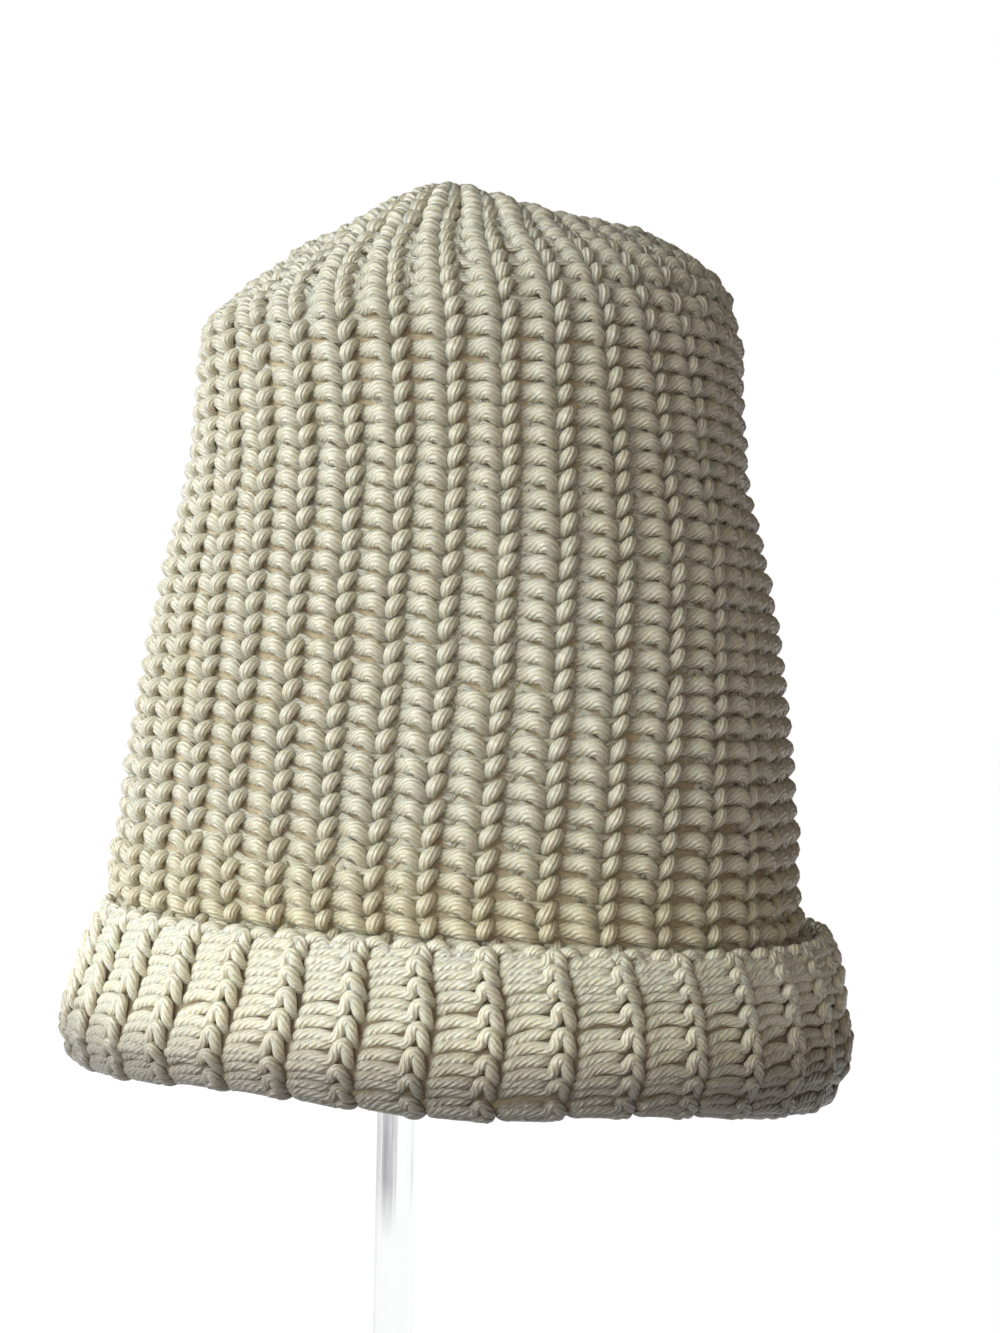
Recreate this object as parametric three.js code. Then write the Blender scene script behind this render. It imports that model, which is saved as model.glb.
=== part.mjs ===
// Ribbed knit cap with a turned-up cuff, on a clear display stand.
// Millimetres, +Z up, +X to the right as seen from the front, -Y to the front.
// The origin is the centre of the stand's foot, on the surface it stands on.

import * as THREE from 'three';

// Knit
const RIBS = 34;
const COLUMNS_PER_RIB = 3;
const RIB_PHASE = 0.45;
const RIB_DEPTH = 1.7;
const CUFF_RIB_DEPTH = 2.2;
const KNIT_THICKNESS = 6.0;
const SEAM_GAP = 0.3;
const OUTLINE_STEPS = 360;

// Cuff
const CUFF_FOLD_RADIUS = (2 * KNIT_THICKNESS + SEAM_GAP) / 2;
const CUFF_EDGE_RISE = 3.0;
const CUFF_EDGE_STEPS = [0.4, 1.0];
const FOLD_STEPS = 6;

// Gather at the top
const GATHER_RADIUS = 5.0;
const GATHER_SINK = 2.5;
const RIB_FADE_WIDTH = 34.0;
const SLOPE_SPAN = 0.5;
const DENT_FADE_FROM = 325.0;
const DENT_FADE_TO = 342.0;

// Stand
const FOOT_WIDTH = 150.0;
const FOOT_THICKNESS = 6.0;
const FOOT_CORNER_RADIUS = 10.0;
const FOOT_BEVEL = 0.8;
const FOOT_CORNER_STEPS = 6;
const POST_WIDTH = 9.0;
const POST_CHAMFER = 0.5;
const POST_TURN_DEG = 14.0;
const CAP_RADIUS = 40.0;
const CAP_RISE = 18.0;
const CAP_RIM = 4.0;
const CAP_RIM_ROUND = 1.5;
const CAP_TOP = 335.7;
const CAP_SIDES = 32;
const CAP_ARC_STEPS = 6;

// Outer form of the crown and cuff, one row for each level, counted in knitted
// courses from the fold. A level is a rounded rectangle: height is its middle,
// drop is how far the right end lies below the left, sag how far both ends lie
// below the front, wave how far the quarters between rise above both, and turn
// its angle from above, in degrees.
const COLUMN_NAMES = [
  'course', 'height', 'drop', 'sag', 'wave', 'halfWidth', 'halfDepth', 'centreX', 'squareness', 'turn',
];
const CUFF_TABLE = [
  [0.0, 127.0, 6.0, 3.2, 3.2, 104.6, 82.0, 15.1, 2.15, -7.0],
  [3.0, 142.0, 5.3, 2.2, 1.8, 102.8, 80.5, 15.8, 2.15, -7.0],
  [6.0, 157.0, 4.5, 1.0, 0.0, 98.5, 78.5, 17.4, 2.30, -11.0],
];
const CROWN_TABLE = [
  [9.0, 164.5, 4.0, 0.5, 0.0, 92.0, 72.5, 14.8, 2.35, -13.0],
  [12.4, 183.0, 3.5, 0.0, 0.0, 90.0, 71.0, 15.2, 2.55, -16.0],
  [15.9, 202.0, 3.0, 0.0, 0.0, 88.1, 70.0, 15.6, 2.60, -17.0],
  [19.3, 220.0, 2.5, 0.0, 0.0, 85.7, 69.0, 16.1, 2.60, -17.0],
  [22.9, 239.0, 2.0, 0.0, 0.0, 82.5, 68.5, 16.4, 2.50, -17.0],
  [26.0, 255.0, 1.0, 0.0, 0.0, 79.1, 68.0, 16.3, 2.40, -16.0],
  [29.1, 271.0, 0.0, 0.0, 0.0, 75.2, 67.5, 15.9, 2.30, -14.0],
  [34.3, 297.0, 0.0, 0.0, 0.0, 72.4, 67.0, 16.1, 2.20, -10.0],
  [37.2, 312.0, 0.0, 0.0, 0.0, 71.3, 65.5, 16.0, 2.15, -8.0],
  [39.2, 321.3, -8.5, 0.0, 0.0, 67.0, 60.0, 16.0, 2.10, -8.0],
  [41.0, 328.4, -8.0, 0.0, 0.0, 60.0, 52.5, 16.0, 2.05, -8.0],
  [42.9, 333.8, -6.0, 0.0, 0.0, 51.0, 44.0, 16.0, 2.00, -8.0],
  [44.8, 338.5, -3.5, 0.0, 0.0, 42.0, 36.0, 16.0, 2.00, -8.0],
  [46.7, 343.3, -1.0, 0.0, 0.0, 33.0, 28.0, 15.5, 2.00, -8.0],
  [49.0, 348.3, 0.5, 0.0, 0.0, 22.0, 19.0, 15.0, 2.00, -8.0],
  [51.0, 351.0, 0.5, 0.0, 0.0, 12.0, 11.0, 14.5, 2.00, -8.0],
  [52.4, 352.2, 0.0, 0.0, 0.0, GATHER_RADIUS, GATHER_RADIUS, 14.0, 2.00, -8.0],
];

// Soft dents and swells of the gathered top: where they are, how wide, how deep.
const DENT_NAMES = ['x', 'y', 'spread', 'depth'];
const DENT_TABLE = [
  [38.0, -14.0, 12.0, 5.5],
  [53.0, -8.0, 10.0, -3.0],
  [-16.0, -20.0, 9.0, 1.5],
  [14.0, 22.0, 10.0, 2.0],
];

// Levels of the crown's rings, in courses
const CROWN_OUTER_COURSES = [
  0, 3, 6, 7.4, 9, 12.4, 17, 22, 26, 30, 34.3, 37.2, 39.2, 41, 42.9, 44.8, 46.7, 49, 51, 52.4,
];
const CROWN_INNER_COURSES = [0, 4, 9, 15, 22, 29, 35, 38.2, 41, 43.8, 46.7, 49.8, 52.4];
const CUFF_OUTER_COURSES = [0, 1.5, 3, 4.5, 6];
const CUFF_INNER_COURSES = [6, 3, 0];

function tableRows(names, table) {
  return table.map((values) => Object.fromEntries(names.map((name, index) => [name, values[index]])));
}

// A section table as a smooth function of the course.
function smoothTable(table) {
  const courses = table.map((row) => row[0]);
  const values = table.flatMap((row) => row.slice(1));
  const names = COLUMN_NAMES.slice(1);
  const interpolant = new THREE.CubicInterpolant(courses, values, names.length);
  return (course) => {
    const result = Array.from(interpolant.evaluate(course));
    return Object.fromEntries(names.map((name, index) => [name, result[index]]));
  };
}

// A row moved inwards in its own plane.
function shrunkRow(values, depth) {
  const row = [...values];
  row[COLUMN_NAMES.indexOf('halfWidth')] -= depth;
  row[COLUMN_NAMES.indexOf('halfDepth')] -= depth;
  return row;
}

// Under the cuff the crown keeps one wall inside the cuff's outer face.
const cuffForm = smoothTable(CUFF_TABLE);
const crownForm = smoothTable([
  ...CUFF_TABLE.map((row) => shrunkRow(row, KNIT_THICKNESS + SEAM_GAP)),
  ...CROWN_TABLE,
]);
const dents = tableRows(DENT_NAMES, DENT_TABLE);

// The crown's section at a course, moved inwards square to its slope. Its lower
// edge stays level from face to face.
function crownSection(course, depth) {
  const here = crownForm(course);
  const below = crownForm(Math.max(course - SLOPE_SPAN, 0));
  const above = crownForm(Math.min(course + SLOPE_SPAN, CROWN_TABLE.at(-1)[0]));
  const run = above.halfWidth - below.halfWidth;
  const rise = above.height - below.height;
  const slopeLength = Math.hypot(run, rise);
  const inward = course > 0 ? depth * rise / slopeLength : depth;
  const fall = course > 0 ? depth * run / slopeLength : 0;
  return {
    ...here,
    halfWidth: Math.max(here.halfWidth - inward, GATHER_RADIUS / 2),
    halfDepth: Math.max(here.halfDepth - inward, GATHER_RADIUS / 2),
    height: here.height + fall,
  };
}

function signedPower(value, exponent) {
  return Math.sign(value) * Math.abs(value) ** exponent;
}

// The section's outline in finely spaced points, from the back round to the left.
function outline(section) {
  const turn = THREE.MathUtils.degToRad(section.turn);
  const points = [];
  for (let step = 0; step <= OUTLINE_STEPS; step += 1) {
    const angle = Math.PI / 2 + 2 * Math.PI * step / OUTLINE_STEPS;
    const x = section.halfWidth * signedPower(Math.cos(angle), 2 / section.squareness);
    const y = section.halfDepth * signedPower(Math.sin(angle), 2 / section.squareness);
    points.push(new THREE.Vector2(x, y).rotateAround(new THREE.Vector2(), turn));
  }
  const reach = Math.max(...points.map((point) => Math.abs(point.x)));
  points.forEach((point) => point.setX(point.x * section.halfWidth / reach));
  return points;
}

// How far a level leaves its middle height, from its left end (-1) to its right (1).
function levelShift(section, across) {
  const quarters = Math.sin(Math.PI * across) ** 2;
  return section.wave * quarters - section.drop * across / 2 - section.sag * across * across;
}

// Depth of the dents at a place on the top, fading out below the shoulder.
function dentDepth(x, y, height) {
  const fade = THREE.MathUtils.smoothstep(height, DENT_FADE_FROM, DENT_FADE_TO);
  const sum = dents.reduce((total, dent) => {
    const distance = Math.hypot(x - dent.x, y - dent.y) / dent.spread;
    return total + dent.depth * Math.exp(-distance * distance);
  }, 0);
  return fade * sum;
}

// One ring of points round a section, evenly spaced by length, with the ribs
// standing out and the grooves between them set back.
function ring(section, ribDepth) {
  const points = outline(section);
  const lengths = [0];
  for (let index = 1; index < points.length; index += 1) {
    lengths.push(lengths[index - 1] + points[index].distanceTo(points[index - 1]));
  }
  const count = RIBS * COLUMNS_PER_RIB;
  const grooveDepth = ribDepth * Math.min(1, section.halfWidth / RIB_FADE_WIDTH);
  const result = [];
  let segment = 1;
  for (let column = 0; column < count; column += 1) {
    const target = (column / COLUMNS_PER_RIB + RIB_PHASE) / RIBS * lengths.at(-1) % lengths.at(-1);
    if (target < lengths[segment - 1]) {
      segment = 1;
    }
    while (lengths[segment] < target) {
      segment += 1;
    }
    const share = (target - lengths[segment - 1]) / (lengths[segment] - lengths[segment - 1]);
    const place = points[segment - 1].clone().lerp(points[segment], share);
    const along = points[segment].clone().sub(points[segment - 1]).normalize();
    const groove = column % COLUMNS_PER_RIB === COLUMNS_PER_RIB - 1 ? grooveDepth : 0;
    const x = place.x - along.y * groove + section.centreX;
    const y = place.y + along.x * groove;
    const height = section.height + levelShift(section, place.x / section.halfWidth);
    result.push(new THREE.Vector3(x, y, height - dentDepth(x, y, height)));
  }
  return result;
}

// A closed mesh through rings of equal length. With closing points the first
// and last ring are fanned to them, without them the last ring meets the first.
// Every diagonal rises to the same hand, so walls face to face keep their gap.
function loft(rings, firstPoint, lastPoint) {
  const size = rings[0].length;
  const points = rings.flat();
  const faces = [];
  const last = firstPoint ? rings.length - 1 : rings.length;
  for (let level = 0; level < last; level += 1) {
    const next = (level + 1) % rings.length;
    const rising = rings[next][0].z > rings[level][0].z;
    for (let column = 0; column < size; column += 1) {
      const beside = (column + 1) % size;
      const a = level * size + column;
      const b = level * size + beside;
      const c = next * size + beside;
      const d = next * size + column;
      faces.push(...(rising ? [a, b, c, a, c, d] : [a, b, d, b, c, d]));
    }
  }
  if (firstPoint) {
    const firstIndex = points.push(firstPoint) - 1;
    const lastIndex = points.push(lastPoint) - 1;
    const start = (rings.length - 1) * size;
    for (let column = 0; column < size; column += 1) {
      const beside = (column + 1) % size;
      faces.push(firstIndex, beside, column, lastIndex, start + column, start + beside);
    }
  }
  const geometry = new THREE.BufferGeometry().setFromPoints(points);
  geometry.setIndex(faces);
  geometry.computeVertexNormals();
  return geometry;
}

function ringCentre(points, sink) {
  const centre = points.reduce((sum, point) => sum.add(point), new THREE.Vector3());
  centre.divideScalar(points.length);
  centre.z -= sink;
  return centre;
}

function knitMaterial(color) {
  return new THREE.MeshStandardMaterial({ color, roughness: 0.85, metalness: 0 });
}

function acrylicMaterial() {
  return new THREE.MeshStandardMaterial({
    color: 0xf4f6f6, roughness: 0.06, metalness: 0, transparent: true, opacity: 0.35,
  });
}

function namedMesh(name, geometry, material) {
  const mesh = new THREE.Mesh(geometry, material);
  mesh.name = name;
  return mesh;
}

// The hollow knitted crown, gathered shut at the top and open at the bottom.
function makeCrown() {
  const inner = CROWN_INNER_COURSES.map((course) => ring(crownSection(course, KNIT_THICKNESS), 0)).reverse();
  const outer = CROWN_OUTER_COURSES.map((course) => ring(crownSection(course, 0), RIB_DEPTH));
  const innerCentre = ringCentre(inner[0], 0);
  const outerCentre = ringCentre(outer.at(-1), GATHER_SINK);
  return namedMesh('crown', loft([...inner, ...outer], innerCentre, outerCentre), knitMaterial(0xe9e4d2));
}

// The turned-up cuff: its outer layer, and the fold under the crown's lower edge.
function makeCuff() {
  const lowest = cuffForm(0);
  const outer = CUFF_OUTER_COURSES.map((course) => ring(cuffForm(course), CUFF_RIB_DEPTH));
  const top = cuffForm(CUFF_OUTER_COURSES.at(-1));
  const edge = CUFF_EDGE_STEPS.map((share) => {
    const depth = share * KNIT_THICKNESS / 2;
    return ring({
      ...top,
      halfWidth: top.halfWidth - depth,
      halfDepth: top.halfDepth - depth,
      height: top.height + CUFF_EDGE_RISE * Math.sin(share * Math.PI / 2),
    }, CUFF_RIB_DEPTH);
  });
  const inner = CUFF_INNER_COURSES.map((course) => {
    const section = crownForm(course);
    return ring({
      ...section,
      halfWidth: section.halfWidth + SEAM_GAP,
      halfDepth: section.halfDepth + SEAM_GAP,
      height: section.height - (course === 0 ? SEAM_GAP : 0),
    }, RIB_DEPTH);
  });
  const fold = [];
  for (let step = 0; step < FOLD_STEPS; step += 1) {
    const angle = Math.PI + Math.PI * step / FOLD_STEPS;
    const depth = CUFF_FOLD_RADIUS * (1 - Math.cos(angle));
    fold.push(ring({
      ...lowest,
      halfWidth: lowest.halfWidth - depth,
      halfDepth: lowest.halfDepth - depth,
      height: lowest.height - SEAM_GAP + CUFF_FOLD_RADIUS * Math.sin(angle),
    }, CUFF_RIB_DEPTH * step / FOLD_STEPS));
  }
  return namedMesh('turned_up_cuff', loft([...outer, ...edge, ...inner, ...fold]), knitMaterial(0xe6e1d2));
}

// A shallow dome under the crown, turned about the post's axis.
function makeStandCap() {
  const sphereRadius = (CAP_RADIUS ** 2 + CAP_RISE ** 2) / (2 * CAP_RISE);
  const underside = CAP_TOP - CAP_RISE - CAP_RIM;
  const profile = [
    new THREE.Vector2(0, underside),
    new THREE.Vector2(CAP_RADIUS - CAP_RIM_ROUND, underside),
    new THREE.Vector2(CAP_RADIUS, underside + CAP_RIM_ROUND),
  ];
  for (let step = CAP_ARC_STEPS; step >= 0; step -= 1) {
    const radius = CAP_RADIUS * step / CAP_ARC_STEPS;
    const height = CAP_TOP - sphereRadius + Math.sqrt(sphereRadius ** 2 - radius ** 2);
    profile.push(new THREE.Vector2(radius, height));
  }
  const geometry = new THREE.LatheGeometry(profile, CAP_SIDES);
  geometry.rotateX(Math.PI / 2);
  return namedMesh('stand_cap', geometry, acrylicMaterial());
}

// The square post, turned so that two of its faces look to the front.
function makeStandPost() {
  const half = POST_WIDTH / 2;
  const flat = half - POST_CHAMFER;
  const corners = [[half, flat], [flat, half], [-flat, half], [-half, flat]];
  const opposite = corners.map(([x, y]) => [-x, -y]);
  const shape = new THREE.Shape([...corners, ...opposite].map(([x, y]) => new THREE.Vector2(x, y)));
  const length = CAP_TOP - CAP_RISE - CAP_RIM - FOOT_THICKNESS;
  const geometry = new THREE.ExtrudeGeometry(shape, { depth: length, bevelEnabled: false });
  const post = namedMesh('stand_post', geometry, acrylicMaterial());
  post.position.z = FOOT_THICKNESS;
  post.rotation.z = THREE.MathUtils.degToRad(POST_TURN_DEG);
  return post;
}

// The square plate that the stand rests on, with round corners and bevelled edges.
function makeStandFoot() {
  const reach = FOOT_WIDTH / 2 - FOOT_BEVEL;
  const round = FOOT_CORNER_RADIUS - FOOT_BEVEL;
  const centre = reach - round;
  const shape = new THREE.Shape();
  shape.absarc(centre, centre, round, 0, Math.PI / 2);
  shape.absarc(-centre, centre, round, Math.PI / 2, Math.PI);
  shape.absarc(-centre, -centre, round, Math.PI, 1.5 * Math.PI);
  shape.absarc(centre, -centre, round, 1.5 * Math.PI, 2 * Math.PI);
  const geometry = new THREE.ExtrudeGeometry(shape, {
    depth: FOOT_THICKNESS - 2 * FOOT_BEVEL,
    bevelSize: FOOT_BEVEL,
    bevelThickness: FOOT_BEVEL,
    bevelSegments: 1,
    curveSegments: FOOT_CORNER_STEPS,
  });
  geometry.translate(0, 0, FOOT_BEVEL);
  return namedMesh('stand_foot', geometry, acrylicMaterial());
}

const hatOnStand = new THREE.Group();
hatOnStand.add(makeCrown(), makeCuff(), makeStandCap(), makeStandPost(), makeStandFoot());

export default hatOnStand;
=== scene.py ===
"""The ribbed knit cap with its turned-up cuff, on its clear stand. Metres, +Z up, -Y to the front."""
import math

import bpy
import numpy as np
from mathutils import Euler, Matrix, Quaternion, Vector


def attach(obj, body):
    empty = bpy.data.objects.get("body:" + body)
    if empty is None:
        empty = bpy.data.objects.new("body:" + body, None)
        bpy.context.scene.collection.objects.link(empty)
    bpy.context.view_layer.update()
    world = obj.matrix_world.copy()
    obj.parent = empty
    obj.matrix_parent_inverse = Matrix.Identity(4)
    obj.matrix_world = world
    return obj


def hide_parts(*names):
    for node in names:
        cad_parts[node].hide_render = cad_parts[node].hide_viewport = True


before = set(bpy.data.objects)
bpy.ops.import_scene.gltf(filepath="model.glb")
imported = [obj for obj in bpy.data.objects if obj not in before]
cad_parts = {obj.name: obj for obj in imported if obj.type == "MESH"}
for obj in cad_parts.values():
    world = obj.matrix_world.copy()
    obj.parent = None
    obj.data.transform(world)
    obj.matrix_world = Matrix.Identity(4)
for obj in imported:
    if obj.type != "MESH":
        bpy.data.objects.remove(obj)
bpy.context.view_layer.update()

MM = 0.001
RIBS = 34
SEED = 7

# The knit's form, close to the frame's crown and cuff, one row for each level. A level is a rounded
# rectangle: height is its middle, drop is how far the right end lies below the left, sag how far both ends
# lie below the front, wave how far the quarters between rise above both, and turn its angle from above.
# Lengths are in millimetres, turn is in degrees, and courses are counted from the fold.
FORM_COLUMNS = (
    "course", "height", "drop", "sag", "wave", "half_width", "half_depth",
    "centre_x", "squareness", "turn", "centre_y",
)
CUFF_FORM = (
    (0.0, 124.8, 6.0, 2.6, 2.4, 103.6, 81.0, 14.2, 2.15, -7.0, 0.0),
    (0.8, 129.2, 5.8, 2.6, 2.2, 105.4, 82.8, 14.6, 2.15, -7.0, 0.0),
    (1.8, 135.2, 5.6, 2.5, 2.0, 104.8, 82.2, 15.2, 2.15, -7.0, 0.0),
    (3.0, 142.0, 5.3, 2.2, 1.8, 102.8, 80.5, 15.8, 2.15, -7.0, 0.0),
    (6.0, 157.0, 4.5, 1.0, 0.0, 98.5, 78.5, 17.4, 2.30, -11.0, 0.0),
    (6.8, 160.3, 4.5, 1.0, 0.0, 97.0, 77.0, 17.4, 2.30, -11.0, 0.0),
    (7.4, 161.8, 4.5, 1.0, 0.0, 94.9, 74.9, 17.4, 2.30, -11.0, 0.0),
    (7.9, 161.0, 4.5, 1.0, 0.0, 93.0, 73.0, 17.4, 2.30, -11.0, 0.0),
)
CROWN_FORM = (
    (1.5, 127.0, 6.0, 3.2, 3.2, 98.3, 75.7, 15.1, 2.15, -7.0, 0.0),
    (4.4, 142.0, 5.3, 2.2, 1.8, 96.5, 74.2, 15.8, 2.15, -7.0, 0.0),
    (7.5, 157.0, 4.5, 1.0, 0.0, 92.2, 72.2, 17.4, 2.30, -11.0, 0.0),
    (9.0, 164.5, 4.0, 0.5, 0.0, 92.0, 72.5, 14.8, 2.35, -13.0, 0.0),
    (12.4, 183.0, 3.5, 0.0, 0.0, 90.0, 71.0, 15.2, 2.55, -16.0, 0.0),
    (15.9, 202.0, 3.0, 0.0, 0.0, 88.1, 70.0, 15.6, 2.60, -17.0, 0.0),
    (19.3, 220.0, 2.5, 0.0, 0.0, 85.7, 69.0, 16.1, 2.60, -17.0, 0.0),
    (22.9, 239.0, 2.0, 0.0, 0.0, 82.5, 68.5, 16.4, 2.50, -17.0, 0.0),
    (26.0, 255.0, 1.0, 0.0, 0.0, 79.1, 68.0, 16.3, 2.40, -16.0, 0.0),
    (29.1, 271.0, 0.0, 0.0, 0.0, 75.2, 67.5, 15.9, 2.30, -14.0, 0.0),
    (34.3, 297.0, 0.0, 0.0, 0.0, 72.4, 67.0, 16.1, 2.20, -10.0, 0.0),
    (37.2, 312.0, 0.0, 0.0, 0.0, 71.3, 65.5, 16.0, 2.15, -8.0, 0.0),
    (39.2, 320.8, -8.5, 0.0, 0.0, 67.0, 60.0, 16.0, 2.10, -8.0, -1.0),
    (41.0, 327.6, -8.0, 1.0, 0.0, 60.0, 53.0, 16.0, 2.05, -8.0, -3.0),
    (42.9, 333.6, -6.0, 3.0, 0.0, 52.0, 46.0, 16.0, 2.00, -8.0, -6.0),
    (44.8, 338.8, -4.0, 5.0, 0.0, 46.0, 40.0, 16.0, 2.00, -8.0, -8.0),
    (46.7, 343.3, -2.0, 7.0, 0.0, 39.0, 34.0, 15.5, 2.00, -8.0, -10.0),
    (49.0, 347.0, -0.5, 8.0, 0.0, 31.0, 26.0, 15.0, 2.00, -8.0, -11.0),
    (51.0, 349.5, 0.0, 6.5, 0.0, 22.5, 18.0, 14.0, 2.00, -8.0, -11.0),
    (52.4, 350.5, 0.0, 2.0, 0.0, 12.0, 10.0, 13.5, 2.00, -8.0, -11.0),
    (53.4, 350.7, 0.0, 0.0, 0.0, 1.5, 1.5, 13.0, 2.00, -8.0, -11.0),
)
# Soft dents and swells of the gathered top, in millimetres, and the heights between which they set in.
DENT_COLUMNS = ("x", "y", "spread", "depth")
DENTS = (
    (34.0, -30.0, 14.0, 6.5),
    (24.0, -30.0, 9.0, 3.5),
    (53.0, -14.0, 10.0, -1.5),
    (-20.0, -30.0, 14.0, 2.2),
    (14.0, 18.0, 10.0, 2.0),
)
DENT_FADE = (325.0, 342.0)
# The fold below the cuff and the reverse of the crown above it, in millimetres: the wall, the gap between
# two walls, and the height of a course. INNER_ROWS is where the reverse ends in the crown's rows.
WALL = 6.0
SEAM_GAP = 0.3
CUFF_PITCH = 4.9
FOLD_STEPS = 6
INNER_ROWS = 15

# One repeat of the yarn's path in a course: along is its place in the repeat, up is in courses, out is
# millimetres from the yarn's mean surface, and radius is the yarn's own, in millimetres.
PATH_COLUMNS = ("along", "up", "out", "radius")
BODY_STITCH = (
    (-0.055, -0.06, -1.5, 1.22),
    (-0.005, 0.08, -0.1, 1.52),
    (0.05, 0.26, 1.0, 1.74),
    (0.11, 0.45, 1.7, 1.80),
    (0.17, 0.64, 1.1, 1.62),
    (0.22, 0.78, -0.2, 1.35),
    (0.245, 0.79, -1.7, 1.20),
    (0.24, 0.66, -2.2, 1.50),
    (0.28, 0.53, -1.8, 1.88),
    (0.34, 0.50, -1.3, 2.08),
    (0.43, 0.49, -1.0, 2.16),
    (0.52, 0.49, -0.5, 2.22),
    (0.61, 0.50, 0.2, 2.28),
    (0.69, 0.48, 0.9, 2.28),
    (0.76, 0.40, 1.2, 2.14),
    (0.815, 0.27, 1.0, 1.90),
    (0.86, 0.08, 0.2, 1.68),
    (0.905, -0.06, -0.8, 1.38),
)
DOME_STITCH = (
    (-0.06, -0.12, 0.3, 1.45),
    (0.05, 0.18, 1.2, 1.75),
    (0.16, 0.46, 0.8, 1.65),
    (0.26, 0.54, -1.2, 1.30),
    (0.36, 0.50, -2.3, 1.30),
    (0.47, 0.50, -1.6, 1.60),
    (0.59, 0.50, 0.2, 2.15),
    (0.72, 0.36, 1.4, 2.35),
    (0.85, 0.05, 1.0, 1.90),
)
CUFF_STITCH = (
    (-0.10, 0.30, 1.2, 1.55),
    (-0.06, 0.46, 1.5, 1.60),
    (-0.02, 0.52, 1.5, 1.60),
    (0.02, 0.40, 1.4, 1.65),
    (0.055, 0.12, 1.2, 1.60),
    (0.09, -0.18, 0.6, 1.45),
    (0.125, -0.40, -0.6, 1.20),
    (0.15, -0.46, -2.1, 1.00),
    (0.19, -0.43, -2.4, 1.00),
    (0.23, -0.34, -1.5, 1.20),
    (0.27, -0.22, -0.8, 1.45),
    (0.34, -0.12, -0.4, 1.58),
    (0.43, -0.04, -0.5, 1.54),
    (0.55, 0.00, -0.2, 1.55),
    (0.67, -0.02, 0.1, 1.55),
    (0.77, -0.08, 0.4, 1.52),
    (0.84, -0.06, 0.8, 1.50),
    (0.875, 0.08, 1.0, 1.52),
)
# The second strand of each cuff course, which shows only between the raised columns.
CUFF_TUCK = (
    (0.00, 0.50, -2.6, 0.90),
    (0.15, 0.10, -2.9, 1.00),
    (0.205, 0.08, -2.1, 1.05),
    (0.24, 0.16, -1.0, 1.30),
    (0.29, 0.28, -0.4, 1.50),
    (0.35, 0.38, -0.5, 1.54),
    (0.46, 0.44, -0.4, 1.52),
    (0.60, 0.49, 0.0, 1.54),
    (0.72, 0.50, 0.2, 1.50),
    (0.81, 0.54, -0.2, 1.15),
    (0.90, 0.60, -1.9, 0.95),
)
# The slanted loops along the cuff's top edge, two for each rib.
EDGE_STITCH = (
    (0.00, -0.42, -1.6, 1.10),
    (0.15, -0.30, 0.2, 1.45),
    (0.35, -0.02, 1.0, 1.70),
    (0.58, 0.26, 0.9, 1.65),
    (0.78, 0.40, -0.4, 1.30),
    (0.90, 0.10, -2.0, 1.00),
)
# How far the ribs lean or crowd at a course, in ribs: all of them, and more with each rib to the left or
# right of MID_RIB. The leaning sets in over DRIFT_EASE ribs and dies out between the two of DRIFT_FADE. It
# depends on the place that it leads to, so it is worked out in DRIFT_ROUNDS rounds.
DRIFT_COLUMNS = ("course", "all", "left", "right")
BODY_DRIFT = (
    (7.0, 0.35, -0.27, 0.15),
    (10.0, 0.00, -0.26, 0.11),
    (14.0, -0.27, -0.22, 0.08),
    (20.0, -0.41, -0.17, 0.04),
    (26.0, -0.49, -0.11, -0.07),
    (30.0, -0.37, -0.06, -0.07),
    (34.0, -0.05, 0.01, -0.03),
    (38.0, 0.20, 0.10, 0.15),
    (42.0, 0.38, 0.18, 0.15),
    (53.0, 0.38, 0.18, 0.15),
)
CUFF_DRIFT = (
    (-8.0, 0.00, 0.00, 0.00),
    (-3.0, 0.15, 0.00, 0.06),
    (0.0, 0.22, -0.04, 0.08),
    (3.0, 0.22, -0.05, 0.09),
    (5.0, 0.12, -0.10, 0.12),
    (7.5, 0.04, -0.13, 0.15),
)
MID_RIB = 19.0
DRIFT_EASE = 1.5
DRIFT_FADE = (8.0, 16.0)
DRIFT_ROUNDS = 4
# How much of its relief the knit keeps at a course, and the depth in millimetres that it flattens to.
RELIEF_COLUMNS = ("course", "share")
BODY_RELIEF = ((40.0, 1.0), (46.0, 0.8), (53.0, 0.7))
CUFF_RELIEF = ((-3.0, 0.3), (-1.0, 0.3), (0.6, 0.45), (2.0, 0.9), (5.0, 1.0), (6.8, 0.6))
EDGE_RELIEF = ((0.0, 1.0), (8.0, 1.0))
RELIEF_DEPTH = -0.5
# A knit has a stitch's path, and another that it goes over to where its ribs crowd. Phase shifts its ribs,
# in ribs, and depth is how far inside the form its mean surface lies, in millimetres. Stray and tilt are
# how much its stitches differ by chance in place and in slope.
BODY_KNIT = {
    "path": BODY_STITCH, "crowded": DOME_STITCH, "phase": 0.52, "depth": 3.0,
    "drift": BODY_DRIFT, "relief": BODY_RELIEF, "stray": 1.35, "tilt": 0.07,
}
CUFF_KNIT = {
    "path": CUFF_STITCH, "crowded": CUFF_STITCH, "phase": 0.30, "depth": 2.6,
    "drift": CUFF_DRIFT, "relief": CUFF_RELIEF, "stray": 1.4, "tilt": 0.2,
}
TUCK_KNIT = {**CUFF_KNIT, "path": CUFF_TUCK, "crowded": CUFF_TUCK, "stray": 1.6, "tilt": 0.25}
INNER_KNIT = {**CUFF_KNIT, "depth": 1.8, "stray": 1.0, "tilt": 0.0}
EDGE_KNIT = {
    **CUFF_KNIT, "path": EDGE_STITCH, "crowded": EDGE_STITCH, "relief": EDGE_RELIEF,
    "stray": 1.0, "tilt": 0.0,
}
# How far a stray of 1 takes a stitch up, in courses, and out, in millimetres, and by what share the yarn's
# thickness differs from stitch to stitch.
STRAY_UP = 0.035
STRAY_OUT = 0.12
STRAY_THICKNESS = 0.03
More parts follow.
